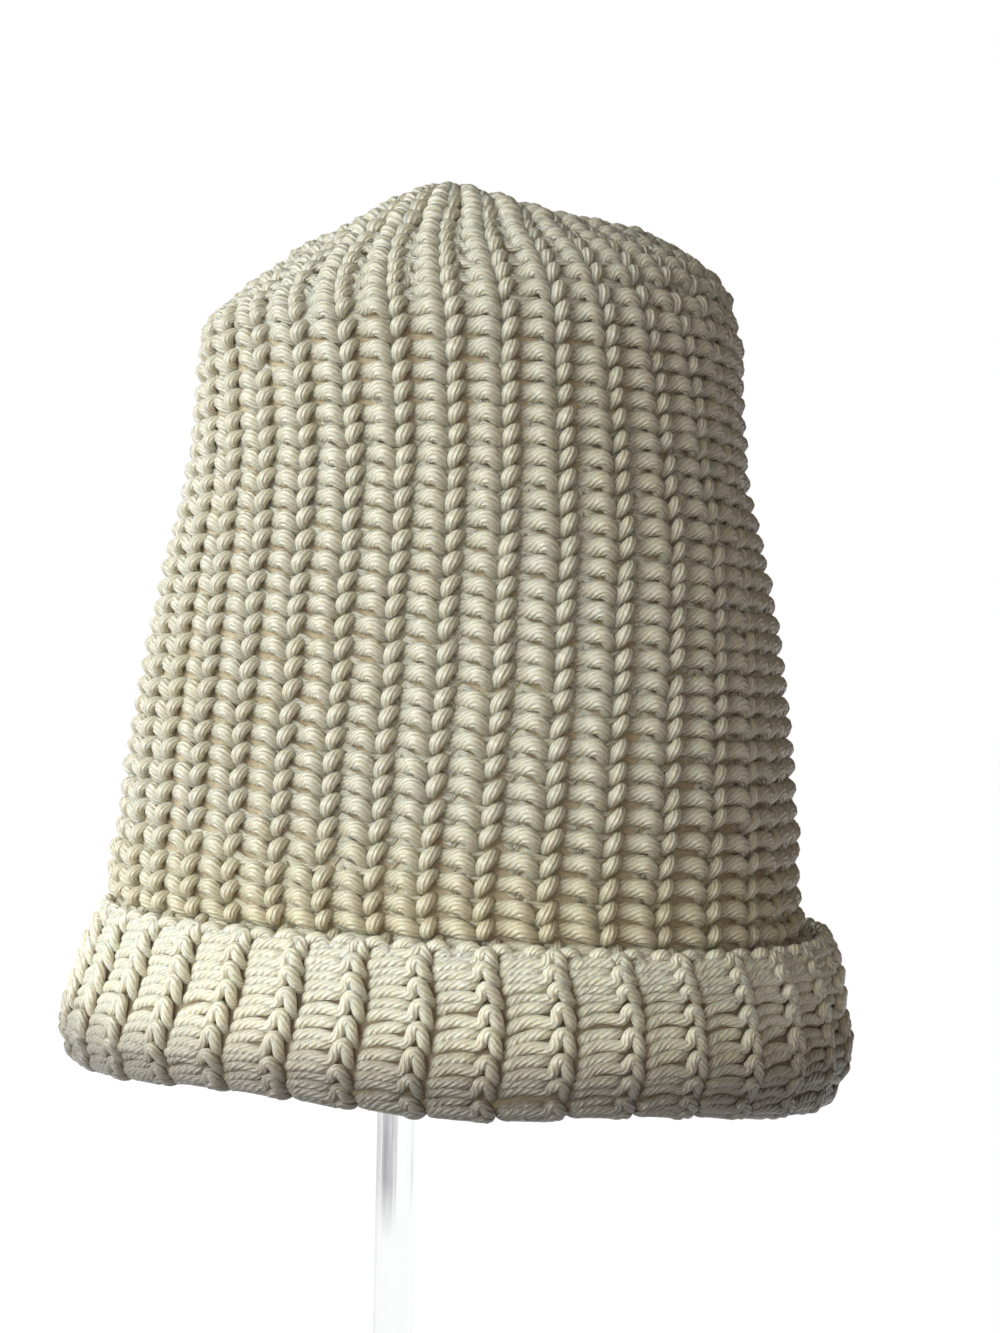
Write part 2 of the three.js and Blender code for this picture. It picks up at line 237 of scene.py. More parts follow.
# The courses between which the body's stitch goes over to the dome's, the repeat's width in millimetres
# below which the yarn is squeezed, and the least share of its size that it keeps.
CROWDED_COURSES = (38.5, 43.0)
FULL_YARN_REPEAT = 8.8
LEAST_FIT = 0.5
# Bands of the crown's courses: name, first course, end, spacing in courses, and stitches round the hat.
BODY_BANDS = (
    ("crown_stitches_lower", 6.4, 19.0, 1.0, RIBS),
    ("crown_stitches_middle", 19.4, 31.0, 1.0, RIBS),
    ("crown_stitches_upper", 31.4, 43.0, 1.0, RIBS),
    ("crown_stitches_dome", 43.6, 51.6, 1.3, RIBS),
    ("crown_gather_stitches", 52.3, 53.3, 0.8, RIBS // 2),
)
# The cuff's first course and end, the course of its top edge, and where the courses of the inside end.
CUFF_COURSES = (-3.6, 6.6)
EDGE_COURSE = 7.35
INSIDE_END = -4.0
# Steps along one repeat of the yarn, and corners of its section in degrees from its outer side, closest
# where it shows.
YARN_STEPS = 26
TUCK_STEPS = 18
EDGE_STEPS = 12
INSIDE_STEPS = 10
YARN_CORNERS = (-130, -76, -38, 0, 38, 76, 130)
TUCK_CORNERS = (-120, -60, 0, 60, 120)
INSIDE_CORNERS = (-135, -45, 45, 135)
# The yarn is pressed a little flat: its width and height as shares of its round size.
YARN_WIDTH = 1.02
YARN_HEIGHT = 0.94
# The sheets behind the stitches: the depths of their two faces in millimetres, how many levels they have,
# and the course at which the cuff's starts.
CROWN_CORE_DEPTHS = (3.6, 4.2)
CROWN_CORE_LEVELS = 70
CUFF_CORE_DEPTHS = (3.0, 4.0)
CUFF_CORE_LEVELS = 24
CUFF_CORE_START = -3.8

# The yarn's surface: the width of a ply round it in millimetres, the plies it winds through for each
# millimetre along it, the fibres in each ply, how much they stand out beside the plies, and the height in
# metres of a ply.
PLY_WIDTH = 1.25
PLY_SLANT = 0.48
FIBRES_IN_PLY = 2.3
FIBRE_RELIEF = 1.7
PLY_HEIGHT = 0.00026
# The yarn's lightness at least, and what fibres and plies add to it: the fibres their own tone, the plies
# painted shade between them and a painted highlight on their crests.
LEAST_LIGHT = 0.07
FIBRE_LIGHT = 0.62
PLY_PAINTED_LIGHT = 0.28
# Colours by lightness, from the painted shade between the plies to the yarn's full light and the painted
# highlight on their crests, and by a slow noise in the yarn's own tone.
YARN_TONE_AND_PAINTED_LIGHT = ((0.15, (0.53, 0.45, 0.285)), (0.5, (0.79, 0.755, 0.60)), (0.8, (0.93, 0.93, 0.86)))
CLOUD_COLOURS = ((0.3, (0.97, 0.95, 0.90)), (0.7, (1.0, 1.0, 1.0)))
# The cores' colours are painted shade: dark browns for the depth between the stitches, darker in the cuff.
CROWN_CORE_PAINTED_SHADE = ((0.3, (0.36, 0.29, 0.18)), (0.7, (0.50, 0.43, 0.29)))
CUFF_CORE_PAINTED_SHADE = ((0.3, (0.22, 0.17, 0.11)), (0.7, (0.33, 0.27, 0.18)))
# Painted light by height in metres: the crown's yarn is a shaded copy of the cuff's, kept at 0.80, with
# painted warm bounce light by the cuff and painted shade, darker and cooler, at the top. The cuff has
# painted shade at its fold.
CROWN_PAINTED_LIGHT = (
    (0.158, (0.80, 0.80, 0.80)),
    (0.164, (0.82, 0.79, 0.70)),
    (0.172, (0.82, 0.80, 0.74)),
    (0.190, (0.80, 0.80, 0.80)),
    (0.290, (0.80, 0.80, 0.80)),
    (0.345, (0.715, 0.72, 0.73)),
)
# The cuff's painted shade: dark at its fold, which faces down, and full above.
CUFF_PAINTED_SHADE = (
    (0.120, (0.22, 0.20, 0.19)),
    (0.127, (0.27, 0.25, 0.24)),
    (0.1335, (0.60, 0.58, 0.56)),
    (0.141, (1.0, 1.0, 1.0)),
    (0.150, (1.0, 1.0, 1.0)),
)
# Painted shade and reflection on the post: grey streaks on its left for the hat's shadow and its dark
# underside
# seen in the clear post, in metres: where they end across it, how softly, and the heights between which they
# set in. The grain is how finely they vary in x, y and z. They have a faint strength all over the post, and
# more where they have set in.
STREAK_EDGE = -0.0003
STREAK_BLUR = 0.0004
STREAK_HEIGHTS = (0.072, 0.088)
STREAK_GRAIN = (900.0, 900.0, 45.0)
STREAK_FAINT = 0.07
STREAK_MORE = 0.9

# The photo's camera, in its pixels, millimetres and degrees.
PHOTO_HEIGHT = 1333.0
FOCAL_PIXELS = 2100.0
CAMERA_PLACE = (25.1, -560.0, 225.0)
CAMERA_ROLL = 1.17
# The studio, in metres. FLOOR_SHADOW is how far from the stand the floor's shadow starts to fade and ends.
HAT_CENTRE = (0.015, 0.0, 0.23)
BACKDROP_RADIUS = 8.0
WALL_RADIUS = 6.0
FLOOR_SHADOW = (0.07, 0.14)
WORLD_COLOUR = (1.0, 0.91, 0.76, 1.0)
WORLD_STRENGTH = 0.09
# Lights: name, place, width, watts and colour.
LIGHTS = (
    ("key_light", (-1.10, -0.90, 0.70), 1.6, 28.0, (0.95, 1.0, 0.98)),
    ("side_light", (-1.45, -0.10, 0.40), 1.2, 14.0, (0.88, 0.92, 1.0)),
    ("back_light", (-0.4, 1.6, 0.6), 1.0, 7.0, (1.0, 0.98, 0.94)),
    ("front_light", (0.0, -1.5, 0.35), 1.0, 4.6, (1.0, 0.84, 0.72)),
)


# The knit's form

def rows(names, table):
    """A table of tuples as arrays by column name."""
    return {name: np.array([row[i] for row in table]) for i, name in enumerate(names)}


def smoothstep(low, high, value):
    """0 below low and 1 above high, with a smooth rise between."""
    t = np.clip((value - low) / (high - low), 0, 1)
    return t * t * (3 - 2 * t)


def smooth_table(names, table, key):
    """A table as smooth functions of its first column: cubic pieces with averaged slopes."""
    columns = rows(names, table)
    knots = columns[names[0]]
    index = np.clip(np.searchsorted(knots, key, side="right") - 1, 0, len(knots) - 2)
    span = knots[index + 1] - knots[index]
    t = (np.clip(key, knots[0], knots[-1]) - knots[index]) / span
    result = {}
    for name in names[1:]:
        values = columns[name]
        slopes = np.gradient(values, knots)
        result[name] = (
            values[index] * (2 * t**3 - 3 * t**2 + 1)
            + slopes[index] * span * (t**3 - 2 * t**2 + t)
            + values[index + 1] * (3 * t**2 - 2 * t**3)
            + slopes[index + 1] * span * (t**3 - t**2)
        )
    return result


def dent_depth(x, y, z):
    """How far the dents of the gathered top take a point down."""
    dents = rows(DENT_COLUMNS, DENTS)
    distance = np.hypot(x[:, None] - dents["x"], y[:, None] - dents["y"]) / dents["spread"]
    return smoothstep(*DENT_FADE, z) * (dents["depth"] * np.exp(-distance**2)).sum(axis=1)


class Form:
    """The knit's surface as a fine grid, read by course and by place around it."""

    # The grid's step in courses, its points round each level, and the steps in which a level is first drawn.
    LEVEL_STEP = 0.2
    AROUND = RIBS * 20
    OUTLINE = 1440

    def __init__(self, table):
        self.first, self.last = table[0][0], table[-1][0]
        self.levels = np.arange(self.first, self.last + self.LEVEL_STEP / 2, self.LEVEL_STEP)
        section = smooth_table(FORM_COLUMNS, table, self.levels)
        self.points = np.array([
            self.ring({name: section[name][i] for name in section}) for i in range(len(self.levels))
        ])
        across = np.roll(self.points, -1, 1) - np.roll(self.points, 1, 1)
        up = np.gradient(self.points, axis=0)
        normals = np.cross(across, up)
        self.normals = normals / np.linalg.norm(normals, axis=2, keepdims=True)
        lengths = np.linalg.norm(np.roll(self.points, -1, 1) - self.points, axis=2)
        self.girth = lengths.sum(axis=1)

    def ring(self, section):
        """Points evenly spaced by length round a rounded rectangle, starting at its back."""
        angle = np.linspace(0, 2 * math.pi, self.OUTLINE + 1) + math.pi / 2
        power = 2 / section["squareness"]
        x = section["half_width"] * np.sign(np.cos(angle)) * abs(np.cos(angle)) ** power
        y = section["half_depth"] * np.sign(np.sin(angle)) * abs(np.sin(angle)) ** power
        turn = math.radians(section["turn"])
        turned_x = x * math.cos(turn) - y * math.sin(turn)
        turned_y = x * math.sin(turn) + y * math.cos(turn)
        turned_x = turned_x * section["half_width"] / abs(turned_x).max()
        length = np.r_[0, np.cumsum(np.hypot(np.diff(turned_x), np.diff(turned_y)))]
        share = np.arange(self.AROUND) / self.AROUND * length[-1]
        x, y = np.interp(share, length, turned_x), np.interp(share, length, turned_y)
        across = x / section["half_width"]
        z = (section["height"] + section["wave"] * np.sin(math.pi * across) ** 2
             - section["drop"] * across / 2 - section["sag"] * across**2)
        x, y = x + section["centre_x"], y + section["centre_y"]
        return np.stack([x, y, z - dent_depth(x, y, z)], axis=1)

    def read(self, grid, course, around):
        """Values of a grid at courses and places around it (0 to 1), blended between its points."""
        level = np.clip((course - self.first) / self.LEVEL_STEP, 0, len(self.levels) - 1.001)
        low = level.astype(int)
        rise = (level - low)[..., None]
        place = (around % 1) * self.AROUND
        left = place.astype(int) % self.AROUND
        right = (left + 1) % self.AROUND
        shift = (place - np.floor(place))[..., None]
        lower = grid[low, left] * (1 - shift) + grid[low, right] * shift
        upper = grid[low + 1, left] * (1 - shift) + grid[low + 1, right] * shift
        return lower * (1 - rise) + upper * rise

    def at(self, course, around, out):
        """Points and outward directions at a distance from the surface, in millimetres."""
        point = self.read(self.points, course, around)
        normal = self.read(self.normals, course, around)
        normal = normal / np.linalg.norm(normal, axis=-1, keepdims=True)
        return point + normal * np.asarray(out)[..., None], normal


def reverse_form():
    """The knit's reverse as one form: down inside the crown, round the fold and up the cuff's outside."""
    names = list(FORM_COLUMNS)
    width, depth, height, course = (names.index(n) for n in ("half_width", "half_depth", "height", "course"))

    def moved(row, inward, lift, place):
        row = list(row)
        row[width] -= inward
        row[depth] -= inward
        row[height] += lift
        row[course] = place
        return tuple(row)

    radius = WALL + SEAM_GAP / 2
    span = math.pi * radius / CUFF_PITCH
    fold = []
    for step in range(1, FOLD_STEPS + 1):
        angle = math.pi * step / FOLD_STEPS
        inward, lift = radius * (1 - math.cos(angle)), -radius * math.sin(angle)
        fold.append(moved(CUFF_FORM[0], inward, lift, -span * step / FOLD_STEPS))
    inside = []
    for row in CROWN_FORM[1:INNER_ROWS]:
        inside.append(moved(row, WALL, 0.0, -span - (row[course] - CROWN_FORM[0][course])))
    return Form(tuple(reversed(inside)) + tuple(reversed(fold)) + CUFF_FORM)


# Stitches

def quad_mesh(name, points, faces, uv=None):
    """A smooth-shaded object from arrays of points and four-cornered faces."""
    mesh = bpy.data.meshes.new(name)
    mesh.vertices.add(len(points))
    mesh.vertices.foreach_set("co", np.ascontiguousarray(points, dtype=np.float32).ravel())
    mesh.loops.add(faces.size)
    mesh.loops.foreach_set("vertex_index", np.ascontiguousarray(faces, dtype=np.int32).ravel())
    mesh.polygons.add(len(faces))
    mesh.polygons.foreach_set("loop_start", np.arange(0, faces.size, 4, dtype=np.int32))
    mesh.update(calc_edges=True)
    if uv is not None:
        layer = mesh.uv_layers.new(name="yarn")
        layer.data.foreach_set("uv", np.ascontiguousarray(uv, dtype=np.float32).ravel())
    mesh.polygons.foreach_set("use_smooth", np.ones(len(faces), dtype=bool))
    mesh.validate()
    piece = bpy.data.objects.new(name, mesh)
    bpy.context.scene.collection.objects.link(piece)
    return piece


def closed_path(table, count):
    """One repeat of a stitch's path as even steps of a smooth curve that goes on into the next repeat."""
    rounds = len(table)
    step = np.arange(count) * rounds / count
    index = step.astype(int)
    t = step - index
    result = {}
    for column, name in enumerate(PATH_COLUMNS):
        ahead = 1.0 if name == "along" else 0.0
        values = np.array([table[i % rounds][column] + ahead * (i // rounds) for i in range(-1, rounds + 2)])
        before, here, after, beyond = (values[index + i] for i in range(4))
        bend = 2 * before - 5 * here + 4 * after - beyond
        twist = 3 * (here - after) + beyond - before
        result[name] = here + 0.5 * t * (after - before + t * (bend + t * twist))
    return result


def yarn_uv(centres, radii, corners, step_corner):
    """The yarn's surface laid flat: millimetres along it, and plies round it."""
    length = np.linalg.norm(np.roll(centres, -1, 1) - centres, axis=2)
    start = np.cumsum(length, axis=1) - length
    u0 = np.repeat(start[:, :, None], len(corners), 2)
    u1 = np.repeat((start + length)[:, :, None], len(corners), 2)
    plies = round(2 * math.pi * float(radii.mean()) / PLY_WIDTH)
    turned = np.r_[corners, corners[0] + 360] / 360 * plies
    v0, v1 = turned[step_corner], turned[step_corner + 1]
    places = ((u0, v0), (u0, v1), (u1, v1), (u1, v0))
    return np.stack([np.stack(place, -1) for place in places], axis=3).reshape(-1, 2)


def yarn_mesh(name, centres, normals, radii, corners):
    """Closed rings of yarn as one mesh. Centres and normals are (rings, steps, 3), radii (rings, steps)."""
    rings, steps, _ = centres.shape
    sides = len(corners)
    tangent = np.roll(centres, -1, 1) - np.roll(centres, 1, 1)
    tangent /= np.linalg.norm(tangent, axis=2, keepdims=True)
    side = np.cross(normals, tangent)
    side /= np.linalg.norm(side, axis=2, keepdims=True)
    out = np.cross(tangent, side)
    angle = np.radians(corners)
    offset = (side[:, :, None] * (-YARN_WIDTH * np.sin(angle))[None, None, :, None]
              + out[:, :, None] * (YARN_HEIGHT * np.cos(angle))[None, None, :, None])
    points = (centres[:, :, None] + offset * radii[:, :, None, None]) * MM
    ring, step, corner = np.meshgrid(np.arange(rings), np.arange(steps), np.arange(sides), indexing="ij")

    def vertex(r, s, c):
        return (r * steps + s % steps) * sides + c % sides

    faces = np.stack([
        vertex(ring, step, corner), vertex(ring, step, corner + 1),
        vertex(ring, step + 1, corner + 1), vertex(ring, step + 1, corner),
    ], axis=-1).reshape(-1, 4)
    return quad_mesh(name, points.reshape(-1, 3), faces, yarn_uv(centres, radii, corners, corner))


def drifted(place, course, table):
    """Where around the knit a place counted in ribs lies, as a share of the whole way round."""
    columns = rows(DRIFT_COLUMNS, table)
    lean = {name: np.interp(course, columns["course"], columns[name]) for name in DRIFT_COLUMNS[1:]}
    around = place / RIBS
    for _ in range(DRIFT_ROUNDS):
        side = (around * RIBS - MID_RIB + RIBS / 2) % RIBS - RIBS / 2
        reach = side**2 / (abs(side) + DRIFT_EASE) * (1 - smoothstep(*DRIFT_FADE, abs(side)))
        drift = lean["all"] + np.where(side < 0, lean["left"], lean["right"]) * reach
        around = (place - drift) / RIBS
    return around


def stitch_path(knit, courses, steps):
    """The knit's stitch at each course, on its way to the crowded stitch of the dome."""
    path, crowded = closed_path(knit["path"], steps), closed_path(knit["crowded"], steps)
    share = smoothstep(*CROWDED_COURSES, courses)[:, None, None]
    return {name: path[name] * (1 - share) + crowded[name] * share for name in path}


def stitches(name, form, knit, courses, repeats=RIBS, spacing=1.0, steps=YARN_STEPS, corners=YARN_CORNERS):
    """Courses of one knit over a form, each a closed ring of yarn with the given repeats of its stitch."""
    random = np.random.default_rng(SEED + len(name))
    courses = np.asarray(courses, dtype=float)
    shape = (len(courses), repeats, steps)
    path = stitch_path(knit, courses, steps)
    loose = random.normal(0, 1, (4,) + shape[:2] + (1,))
    bow = np.sin(math.pi * np.arange(steps) / steps)
    tilt = knit["tilt"] * loose[3] * (path["along"] - path["along"].mean()) * bow
    width = (np.interp(courses, form.levels, form.girth) / repeats)[:, None, None]
    place = (np.arange(repeats)[:, None] + path["along"]) * RIBS / repeats + knit["phase"]
    level = courses[:, None, None] + (path["up"] + STRAY_UP * knit["stray"] * loose[0] + tilt) * spacing
    fit = np.clip(width / FULL_YARN_REPEAT, LEAST_FIT, 1)
    relief = rows(RELIEF_COLUMNS, knit["relief"])
    kept = np.interp(level, relief["course"], relief["share"])
    raised = RELIEF_DEPTH + (path["out"] - RELIEF_DEPTH) * kept
    out = (raised + STRAY_OUT * knit["stray"] * loose[1]) * fit
    radii = path["radius"] * (1 + STRAY_THICKNESS * loose[2]) * fit * spacing
    level, place, out, radii = (np.broadcast_to(value, shape).reshape(len(courses), -1)
                                for value in (level, place, out, radii))
    centres, normals = form.at(level, drifted(place, level, knit["drift"]), out - knit["depth"])
    return yarn_mesh(name, centres, normals, radii, corners)


def wall_sheet(name, form, levels, near, far):
    """A closed sheet between two depths of a form, over the given courses."""
    places = form.AROUND // 4
    around = np.arange(places) / places
    grid = np.broadcast_to(around, (len(levels), places))
    level = np.broadcast_to(levels[:, None], grid.shape)
    outer, _ = form.at(level, grid, np.full(grid.shape, -near))
    inner, _ = form.at(level, grid, np.full(grid.shape, -far))
    rings = np.concatenate([outer, inner[::-1]])
    ring, place = np.meshgrid(np.arange(len(rings)), np.arange(places), indexing="ij")
    above, beside = (ring + 1) % len(rings), (place + 1) % places
    faces = np.stack([
        ring * places + place, ring * places + beside, above * places + beside, above * places + place,
    ], axis=-1).reshape(-1, 4)
    return quad_mesh(name, rings.reshape(-1, 3) * MM, faces)


# Shader nodes

def new_material(name):
    material = bpy.data.materials.new(name)
    material.use_nodes = True
    material.node_tree.nodes.clear()
    return material, material.node_tree.nodes, material.node_tree.links


def add(nodes, kind, **values):
    """A shader node with its values. Names that start with s_ are sockets, the others settings."""
    node = nodes.new(kind)
    for key, value in values.items():
        if key.startswith("s_"):
            node.inputs[key[2:].replace("_", " ")].default_value = value
        else:
            setattr(node, key, value)
    return node


def math_node(nodes, links, operation, *values):
    """The result of one operation on numbers and other nodes' outputs."""
    node = add(nodes, "ShaderNodeMath", operation=operation)
    for socket, value in zip(node.inputs, values):
        if isinstance(value, (int, float)):
            socket.default_value = value
        else:
            links.new(value, socket)
    return node.outputs[0]


def ramp(nodes, links, factor, stops):
    """A colour ramp through pairs of place and colour."""
    node = nodes.new("ShaderNodeValToRGB")
    elements = node.color_ramp.elements
    while len(elements) < len(stops):
        elements.new(0.5)
    for element, (place, colour) in zip(elements, stops):
        element.position = place
        element.color = (*colour, 1.0)
    links.new(factor, node.inputs["Fac"])
    return node.outputs["Color"]


def multiplied(nodes, links, first, second):
    """The product of two colours."""
    node = add(nodes, "ShaderNodeMix", data_type="RGBA", blend_type="MULTIPLY")
    factor, colour, other = (node.inputs[i] for i in (0, 6, 7))
    factor.default_value = 1.0
    links.new(first, colour)
    links.new(second, other)
    return node.outputs[2]


# Materials

def yarn_texture(nodes, links):
    """Plies that wind round the yarn and fibres along them, both from 0 to 1."""
    uv = add(nodes, "ShaderNodeUVMap", uv_map="yarn")
    split = add(nodes, "ShaderNodeSeparateXYZ")
    links.new(uv.outputs[0], split.inputs[0])
    along, across = split.outputs["X"], split.outputs["Y"]
    wander = add(nodes, "ShaderNodeTexNoise", s_Scale=0.12, s_Detail=1.0)
    links.new(uv.outputs[0], wander.inputs["Vector"])
    winding = math_node(nodes, links, "MULTIPLY_ADD", along, PLY_SLANT, across)
    winding = math_node(nodes, links, "ADD", winding, wander.outputs["Fac"])
    angle = math_node(nodes, links, "MULTIPLY", winding, 2 * math.pi)
    wave = math_node(nodes, links, "COSINE", angle)
    ply = math_node(nodes, links, "MULTIPLY_ADD", wave, 0.5, 0.5)
    stretch = add(nodes, "ShaderNodeCombineXYZ")
    links.new(along, stretch.inputs["X"])
    links.new(math_node(nodes, links, "MULTIPLY", winding, FIBRES_IN_PLY), stretch.inputs["Y"])
    fibre = add(nodes, "ShaderNodeTexNoise", s_Scale=1.0, s_Detail=3.0, s_Roughness=0.65)
    links.new(stretch.outputs[0], fibre.inputs["Vector"])
    return ply, fibre.outputs["Fac"]


def yarn_colour(nodes, links, ply, fibre, painted_light):
    """Cream yarn with painted shade between its plies and a painted highlight on their crests, a slow change
    over the knit, and painted light by height.
    """
    lightness = math_node(nodes, links, "MULTIPLY_ADD", fibre, FIBRE_LIGHT, LEAST_LIGHT)
    lightness = math_node(nodes, links, "MULTIPLY_ADD", ply, PLY_PAINTED_LIGHT, lightness)
    place = add(nodes, "ShaderNodeTexCoord").outputs["Object"]
    cloud = add(nodes, "ShaderNodeTexNoise", s_Scale=22.0, s_Detail=2.0)
    links.new(place, cloud.inputs["Vector"])
    height = add(nodes, "ShaderNodeSeparateXYZ")
    links.new(place, height.inputs[0])
    colour = ramp(nodes, links, lightness, YARN_TONE_AND_PAINTED_LIGHT)
    colour = multiplied(nodes, links, colour, ramp(nodes, links, cloud.outputs["Fac"], CLOUD_COLOURS))
    return multiplied(nodes, links, colour, ramp(nodes, links, height.outputs["Z"], painted_light))


def yarn_material(name, painted_light):
    """Soft plied yarn with a slight sheen."""
    material, nodes, links = new_material(name)
    out = add(nodes, "ShaderNodeOutputMaterial")
    shader = add(
        nodes, "ShaderNodeBsdfPrincipled", s_Roughness=0.32, s_Specular_IOR_Level=1.0,
        s_Sheen_Weight=0.22, s_Sheen_Roughness=0.45, s_Sheen_Tint=(1.0, 0.97, 0.90, 1.0),
        s_Subsurface_Weight=0.55, s_Subsurface_Scale=0.0024, s_Subsurface_Radius=(1.0, 0.75, 0.45),
    )
    links.new(shader.outputs[0], out.inputs["Surface"])
    ply, fibre = yarn_texture(nodes, links)
    bump = add(nodes, "ShaderNodeBump", s_Strength=1.0, s_Distance=PLY_HEIGHT)
    links.new(math_node(nodes, links, "MULTIPLY_ADD", fibre, FIBRE_RELIEF, ply), bump.inputs["Height"])
    links.new(bump.outputs[0], shader.inputs["Normal"])
    links.new(yarn_colour(nodes, links, ply, fibre, painted_light), shader.inputs["Base Color"])
    return material


def core_material(name, colours):
    """Painted shade: a dark colour for the knit's depth between the stitches, where shade falls."""
    material, nodes, links = new_material(name)
    out = add(nodes, "ShaderNodeOutputMaterial")
    shader = add(nodes, "ShaderNodeBsdfPrincipled", s_Roughness=0.85, s_Sheen_Weight=0.2)
    links.new(shader.outputs[0], out.inputs["Surface"])
    place = add(nodes, "ShaderNodeTexCoord")
    fibre = add(nodes, "ShaderNodeTexNoise", s_Scale=900.0, s_Detail=3.0)
    links.new(place.outputs["Object"], fibre.inputs["Vector"])
    links.new(ramp(nodes, links, fibre.outputs["Fac"], colours), shader.inputs["Base Color"])
    bump = add(nodes, "ShaderNodeBump", s_Strength=0.5, s_Distance=0.0005)
    links.new(fibre.outputs["Fac"], bump.inputs["Height"])
    links.new(bump.outputs[0], shader.inputs["Normal"])
    return material


def streaks(nodes, links, place):
    """Painted shade and reflection of the hat: upright grey streaks on the left half of the post, strongest
    just below it.
    """
    split = add(nodes, "ShaderNodeSeparateXYZ")
    links.new(place, split.inputs[0])
    side = add(nodes, "ShaderNodeMapRange", s_From_Min=STREAK_EDGE, s_From_Max=STREAK_EDGE - STREAK_BLUR)
    links.new(split.outputs["X"], side.inputs["Value"])
    low, high = STREAK_HEIGHTS
    height = add(nodes, "ShaderNodeMapRange", s_From_Min=low, s_From_Max=high)
    links.new(split.outputs["Z"], height.inputs["Value"])
    upright = add(nodes, "ShaderNodeMapping", s_Scale=STREAK_GRAIN)
    links.new(place, upright.inputs[0])
    grain = add(nodes, "ShaderNodeTexNoise", s_Scale=1.0, s_Detail=2.0)
    links.new(upright.outputs[0], grain.inputs["Vector"])
    strength = math_node(nodes, links, "MULTIPLY", side.outputs["Result"], height.outputs["Result"])
    strength = math_node(nodes, links, "MULTIPLY_ADD", strength, STREAK_MORE, STREAK_FAINT)
    strength = math_node(nodes, links, "MULTIPLY", strength, grain.outputs["Fac"])
    return ramp(nodes, links, strength, ((0.0, (1.0, 1.0, 1.0)), (0.65, (0.35, 0.34, 0.36))))


def acrylic_material(name, streaked=False):
    """Clear acrylic with polished faces and a trace of handling in the polish; streaked, it has painted
    shade and reflection of the hat.
    """
    material, nodes, links = new_material(name)
    out = add(nodes, "ShaderNodeOutputMaterial")
    shader = add(nodes, "ShaderNodeBsdfPrincipled", s_IOR=1.49, s_Transmission_Weight=1.0)
    links.new(shader.outputs[0], out.inputs["Surface"])
    place = add(nodes, "ShaderNodeTexCoord").outputs["Object"]
    smear = add(nodes, "ShaderNodeTexNoise", s_Scale=35.0, s_Detail=4.0)
    links.new(place, smear.inputs["Vector"])
    polish = add(
        nodes, "ShaderNodeMapRange", s_From_Min=0.45, s_From_Max=0.75, s_To_Min=0.02, s_To_Max=0.09,
    )
    links.new(smear.outputs["Fac"], polish.inputs["Value"])
    links.new(polish.outputs["Result"], shader.inputs["Roughness"])
    clear = ramp(nodes, links, smear.outputs["Fac"], ((0.3, (0.96, 0.97, 0.97)), (0.7, (0.99, 1.0, 1.0))))
    if streaked:
        clear = multiplied(nodes, links, clear, streaks(nodes, links, place))
    links.new(clear, shader.inputs["Base Color"])
    return material


def glow_material(name, strength):
    material, nodes, links = new_material(name)
    out = add(nodes, "ShaderNodeOutputMaterial")
    glow = add(nodes, "ShaderNodeEmission", s_Strength=strength, s_Color=(1.0, 1.0, 1.0, 1.0))
    links.new(glow.outputs[0], out.inputs["Surface"])
    return material


def wall_material():
    """What the clear stand bends into view: bright behind it, grey to the sides and in front."""
    material, nodes, links = new_material("studio_wall")
    out = add(nodes, "ShaderNodeOutputMaterial")
    glow = add(nodes, "ShaderNodeEmission", s_Strength=1.0)
    place = add(nodes, "ShaderNodeTexCoord")
    split = add(nodes, "ShaderNodeSeparateXYZ")
    links.new(place.outputs["Object"], split.inputs[0])
    behind = math_node(nodes, links, "DIVIDE", split.outputs["Y"], WALL_RADIUS)
    greys = ((0.0, (0.22, 0.21, 0.21)), (0.55, (0.55, 0.55, 0.56)), (0.9, (1.0, 1.0, 1.0)))
    links.new(ramp(nodes, links, behind, greys), glow.inputs["Color"])
    links.new(glow.outputs[0], out.inputs["Surface"])
    return material


def floor_material():
    """Pale floor, lit from within away from the stand so that only the shadow close to it shows."""
    material, nodes, links = new_material("pale_floor")
    out = add(nodes, "ShaderNodeOutputMaterial")
    shader = add(
        nodes, "ShaderNodeBsdfPrincipled",
        s_Roughness=0.7, s_Emission_Strength=1.0, s_Specular_IOR_Level=0.1,
    )
    near, far = FLOOR_SHADOW
    place = add(nodes, "ShaderNodeTexCoord").outputs["Object"]
    distance = add(nodes, "ShaderNodeVectorMath", operation="LENGTH")
    links.new(place, distance.inputs[0])
    away = distance.outputs["Value"]
    glow = ramp(nodes, links, away, ((near, (0.35, 0.35, 0.35)), (far, (1.0, 1.0, 1.0))))
    links.new(glow, shader.inputs["Emission Color"])
    grain = add(nodes, "ShaderNodeTexNoise", s_Scale=60.0, s_Detail=3.0)
    links.new(place, grain.inputs["Vector"])
    pale = ramp(nodes, links, grain.outputs["Fac"], ((0.3, (0.80, 0.80, 0.79)), (0.7, (0.84, 0.84, 0.83))))
    lit = ramp(nodes, links, away, ((near, (1.0, 1.0, 1.0)), (far, (0.0, 0.0, 0.0))))
    links.new(multiplied(nodes, links, pale, lit), shader.inputs["Base Color"])
    links.new(shader.outputs[0], out.inputs["Surface"])
    return material


# Pieces

def dress(piece, material, node):
    """Gives a piece of knit its material, attaches it to the root body and hides the solid that it takes the
    place of.
    """
    piece.data.materials.append(material)
    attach(piece, "root")
    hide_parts(node)


def make_crown(outside, yarn):
    for name, low, high, spacing, repeats in BODY_BANDS:
        courses = np.arange(low, high, spacing)
        band = stitches(name, outside, BODY_KNIT, courses, repeats, spacing)
        dress(band, yarn, "crown")


